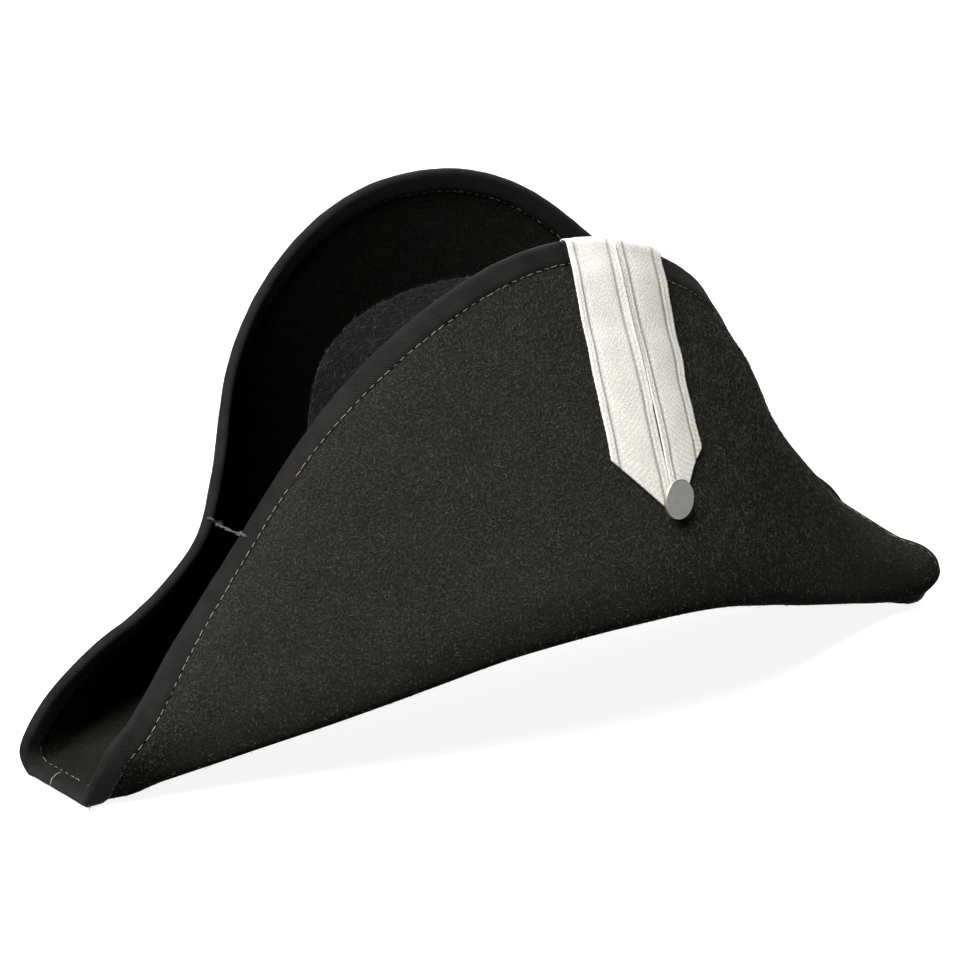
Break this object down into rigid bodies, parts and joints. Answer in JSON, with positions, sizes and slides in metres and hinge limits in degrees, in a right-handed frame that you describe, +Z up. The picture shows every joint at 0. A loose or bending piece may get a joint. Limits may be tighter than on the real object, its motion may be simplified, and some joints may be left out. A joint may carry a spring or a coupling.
{
  "type": "bicorne hat",
  "caption": "Black wool felt bicorne with the brim turned up front and back, a taped edge, a folded white braid strap with a metal button, and thread ties at the sides.",
  "frame": {"origin": "on the surface the hat rests on, under the middle of its outside box", "axes": "+X from tip to tip towards the right as seen from the front, +Y towards the back, +Z up"},
  "size_m": [0.4808, 0.2124, 0.231],
  "materials": {
    "felt": "black wool felt with short mottled fibres",
    "tape": "black twill tape with a fine diagonal rib, sewn with beige thread",
    "braid": "warm white flat braid, twill in the middle and corded at both selvages",
    "pewter": "satin grey metal, worn brighter at the edge",
    "thread": "grey twisted linen thread"
  },
  "bodies": {
    "root": {"crown": "felt", "brim": "felt", "binding": "tape", "strap_left": "braid", "strap_right": "braid", "button": "pewter", "tie_thread_left": "thread", "tie_thread_right": "thread"}
  },
  "joints": []
}
